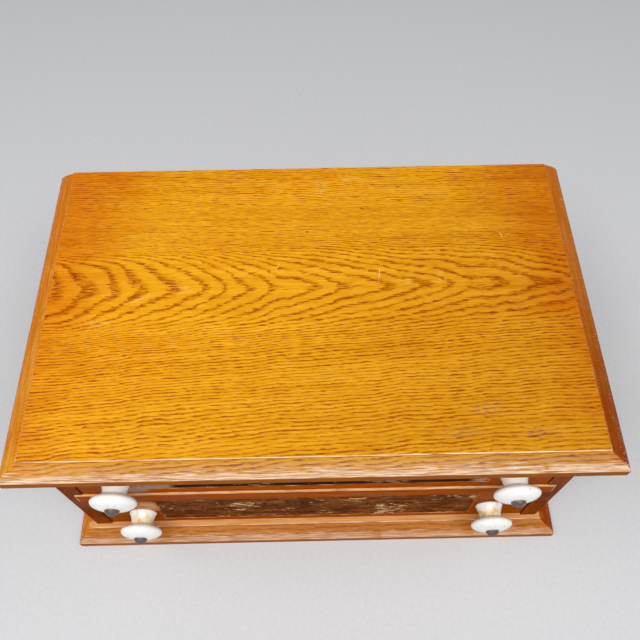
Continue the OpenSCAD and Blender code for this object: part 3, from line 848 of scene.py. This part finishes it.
LABEL_CELL = 1.1 * MM
FLAKE_DEPTH = 0.35 * MM
FRAY_ENDS = 5 * MM
FRAY_EDGES = 1.6 * MM
FRAY_REACH = 14 * MM


def frayed(along, seed, depth, cell):
    """How far a torn edge draws back at a place along it."""
    return depth * abs(noise.fractal(Vector((along / cell, seed, 0)), 0.8, 2.1, 4))


def flake_at(x, z, seed):
    """How far the face has lifted off there, 0 to 1: in ragged streaks along the label."""
    streaks = noise.fractal(Vector((x / (11 * MM), z / (3.4 * MM), seed)), 0.7, 2.2, 4)
    patches = noise.noise(Vector((x / (45 * MM), z / (18 * MM), seed + 9)))
    return min(1.0, max(0.0, (streaks + 1.3 * patches - 0.55) / 0.25))


def label_sheet(level, material, seed):
    """A thin label in its recess, its outline frayed and its face lifted off in flakes."""
    node = level + "_label"
    low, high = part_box(node)
    across = round((high.x - low.x) / LABEL_CELL)
    up = round((high.z - low.z) / LABEL_CELL)
    bm = bmesh.new()
    flake = bm.verts.layers.float.new("flake")
    rows = []
    for j in range(up + 1):
        row = []
        for i in range(across + 1):
            x = low.x + (high.x - low.x) * i / across
            z = low.z + (high.z - low.z) * j / up
            lifted = flake_at(x, z, seed)
            inward = Vector((0, 0, 0))
            for edge, sign in ((low, 1), (high, -1)):
                near_end = max(0.0, 1 - abs(x - edge.x) / FRAY_REACH)
                near_edge = max(0.0, 1 - abs(z - edge.z) / FRAY_REACH)
                inward.x += sign * near_end * frayed(z, seed + sign, FRAY_ENDS, 9 * MM)
                inward.z += sign * near_edge * frayed(x, seed + 3 * sign, FRAY_EDGES, 13 * MM)
            point = bm.verts.new(Vector((x, low.y + lifted * FLAKE_DEPTH, z)) + inward)
            point[flake] = lifted
            row.append(point)
        rows.append(row)
    skin(bm, rows)
    rim = [edge for edge in bm.edges if edge.is_boundary]
    for each in bmesh.ops.extrude_edge_only(bm, edges=rim)["geom"]:
        if isinstance(each, bmesh.types.BMVert):
            each.co.y = high.y
    bmesh.ops.recalc_face_normals(bm, faces=bm.faces)
    mesh = bpy.data.meshes.new(node + "_worn")
    bm.to_mesh(mesh)
    bm.free()
    return add_piece(node + "_worn", mesh, material, node)


# Studio

FLOOR_HALF = 8.0
# The floor lies a hair below the cabinet, so that the two faces don't meet
FLOOR_GAP = 0.2 * MM
# Each lamp's place from the middle of the cabinet, its width and length in metres, and its brightness
LAMPS = {
    "front_lamp": (Vector((0.0, -0.92, 1.97)), (2.4, 0.8), 7.4),
    "left_lamp": (Vector((-1.25, -0.15, 1.8)), (1.0, 1.0), 2.6),
    "right_lamp": (Vector((1.25, -0.15, 1.8)), (1.0, 1.0), 1.4),
}


def area_lamp(name, place, target, size, radiance):
    """A soft rectangular lamp of that brightness, turned to the target."""
    lamp = bpy.data.lights.new(name, "AREA")
    lamp.shape = "RECTANGLE"
    lamp.size, lamp.size_y = size
    lamp.energy = radiance * math.pi * size[0] * size[1]
    held = bpy.data.objects.new(name, lamp)
    held.location = place
    held.rotation_euler = (target - place).to_track_quat("-Z", "Y").to_euler()
    bpy.context.scene.collection.objects.link(held)


def floor_paper():
    """Plain pale paper with a faint speckle."""
    made, graph, shader = new_material("floor_paper")
    speckle = graph.noise(graph.join(*graph.axes()), (4 * MM, 4 * MM, 4 * MM), detail=3.0)
    colour = graph.shade(speckle, (0.2, srgb(206, 207, 209)), (0.8, srgb(214, 215, 217)))
    finish_surface(graph, shader, colour, 0.8, speckle, 0.05 * MM, specular=0.2)
    return made


def soft_sky():
    """A plain sky, pale at the horizon and dim overhead."""
    world = bpy.data.worlds.new("sky")
    world.use_nodes = True
    bpy.context.scene.world = world
    graph = Graph(world.node_tree)
    background = next(n for n in world.node_tree.nodes if n.type == "BACKGROUND")
    direction = graph.put("ShaderNodeTexCoord").outputs["Generated"]
    rise = Term(graph, graph.put("ShaderNodeSeparateXYZ", {0: direction}).outputs[2])
    sky = graph.shade(rise, (0.0, (0.75, 0.75, 0.75, 1)), (0.7, (0.08, 0.08, 0.085, 1)))
    graph.feed(background.inputs["Color"], sky)


def studio(middle):
    """A pale floor under a soft sky, a wide lamp high before the cabinet and a weaker one on each side."""
    bm = bmesh.new()
    bmesh.ops.create_grid(bm, x_segments=8, y_segments=8, size=FLOOR_HALF)
    mesh = bpy.data.meshes.new("floor")
    bm.to_mesh(mesh)
    bm.free()
    floor = bpy.data.objects.new("floor", mesh)
    floor.location.z = -FLOOR_GAP
    bpy.context.scene.collection.objects.link(floor)
    mesh.materials.append(floor_paper())
    for name, (away, size, radiance) in LAMPS.items():
        area_lamp(name, middle + away, middle, size, radiance)
    soft_sky()


# The photograph's camera, solved from points on the cabinet's edges
CAMERA_PLACE = Vector((3.34, -301.83, 715.46)) * MM
CAMERA_PITCH = math.radians(60.19)
CAMERA_YAW = math.radians(0.65)
CAMERA_ROLL = math.radians(-0.58)
FOCAL_PIXELS = 695.49
IMAGE_PIXELS = 640
SENSOR = 36.0


def photograph_camera():
    """The camera where the photographer stood."""
    data = bpy.data.cameras.new("camera")
    data.sensor_width = SENSOR
    data.lens = FOCAL_PIXELS / IMAGE_PIXELS * SENSOR
    data.clip_start = 0.01
    ahead = Vector((math.sin(CAMERA_YAW) * math.cos(CAMERA_PITCH),
                    math.cos(CAMERA_YAW) * math.cos(CAMERA_PITCH), -math.sin(CAMERA_PITCH)))
    right = Vector((math.cos(CAMERA_YAW), -math.sin(CAMERA_YAW), 0))
    up = right.cross(ahead)
    rolled_right = right * math.cos(CAMERA_ROLL) + up * math.sin(CAMERA_ROLL)
    rolled_up = up * math.cos(CAMERA_ROLL) - right * math.sin(CAMERA_ROLL)
    turn = Matrix((rolled_right, rolled_up, -ahead)).transposed()
    camera = bpy.data.objects.new("camera", data)
    camera.matrix_world = Matrix.Translation(CAMERA_PLACE) @ turn.to_4x4()
    bpy.context.scene.collection.objects.link(camera)
    bpy.context.scene.camera = camera


# The cabinet

NAIL_EASE = 0.1 * MM
FIXING_EASE = 0.15 * MM
DOWEL_EASE = 0.3 * MM
THIN_EASE = 0.4 * MM
RAIL_EASE = 1.7 * MM
# The upper knobs are nearly clean and whole; the lower ones, within reach, are stained and chipped
STAINED = {"upper": 0.15, "lower": 1.0}
CHIPPED = {"upper": 0.2, "lower": 1.0}
# Starts of the random draws
BOARD_SEED = {"top_board": 1.0, "base_board": 2.0}
LABEL_SEED = {"upper": 11.0, "lower": 23.0}
KNOB_SEED = {"left": 4.7, "right": 7.7}

front_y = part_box("upper_drawer_front")[0].y
top_face, base_face = (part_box(board)[1].z for board in BOARD_SEED)
oak_top = oak("oak_top", "xyz", ARCHED, GOLDEN, face=top_face, gloss=0.15, marks_and_light=top_marks_and_shade)
oak_base = oak("oak_base", "xyz", STRAIGHT, AMBER, face=base_face, contrast=0.5, marks_and_light=base_painted_light_and_stain)
oak_upright = oak("oak_upright", "zyx", STRAIGHT, UMBER, contrast=0.7)
oak_front = oak("oak_front", "xzy", STRAIGHT, RUSSET, face=front_y, contrast=0.5, marks_and_light=front_marks)
moulded_board("top_board", oak_top, BOARD_SEED["top_board"])
moulded_board("base_board", oak_base, BOARD_SEED["base_board"], holes=base_screw_places())
for side in SIDES:
    dress(side + "_side", oak_upright)
# The rail's top arris is eased wide and painted pale as a highlight line as well as worn
dress("divider_rail", oak_front, ease=RAIL_EASE, rub_and_highlight=0.8)

pale_across = plain_wood("pale_across", "xzy")
pale_flat = plain_wood("pale_flat", "xyz")
pale_deep = plain_wood("pale_deep", "yzx")
pale_upright = plain_wood("pale_upright", "zxy")
aged_back = plain_wood("aged_back", "xzy", light=srgb(168, 124, 78), dark=srgb(104, 66, 36))
black_iron = iron("black_iron")
dress("back_panel", aged_back)
dress("rear_rail", pale_flat)
for side in SIDES:
    dress(side + "_runner", pale_deep)
dress("top_dowels", pale_upright, ease=DOWEL_EASE)
dress("base_screws", black_iron, ease=NAIL_EASE)
dress("back_nails", black_iron, ease=NAIL_EASE)

porcelain_of = {
    "upper": porcelain("porcelain_clean", front_y, STAINED["upper"]),
    "lower": porcelain("porcelain_stained", front_y, STAINED["lower"]),
}
# The upper label's colours are darker than the lower one's: a dark label darkened further with painted
# shade of the top's overhang
label_of = {
    "upper": label_paper("label_black_and_shaded", srgb(32, 14, 4), srgb(66, 40, 18), srgb(168, 128, 96),
                         greyed=[(-118 * MM, -128 * MM), (130 * MM, 140 * MM)]),
    "lower": label_paper("label_brown", srgb(92, 43, 12), srgb(158, 98, 50), srgb(226, 192, 142)),
}
for level in LEVELS:
    drawer = level + "_drawer_"
    dress(drawer + "front", oak_front)
    label_sheet(level, label_of[level], LABEL_SEED[level])
    for side in SIDES:
        dress(drawer + side + "_side", pale_deep)
        knob(level, side, porcelain_of[level], CHIPPED[level], KNOB_SEED[side])
    dress(drawer + "back", pale_across)
    dress(drawer + "bottom", pale_flat, ease=THIN_EASE)
    dress(drawer + "stops", pale_flat)
    dress(drawer + "nails", black_iron, ease=NAIL_EASE)
    for fixing in ("bolts", "washers", "nuts"):
        dress(f"{level}_knob_{fixing}", black_iron, ease=FIXING_EASE)
    for node in frame["nodes"]:
        if node.startswith(level + "_spool_slat"):
            dress(node, pale_deep, ease=THIN_EASE)

studio(Vector((0, 0, cad_box[1].z / 2)))
photograph_camera()
bpy.context.scene.view_settings.view_transform = "Standard"
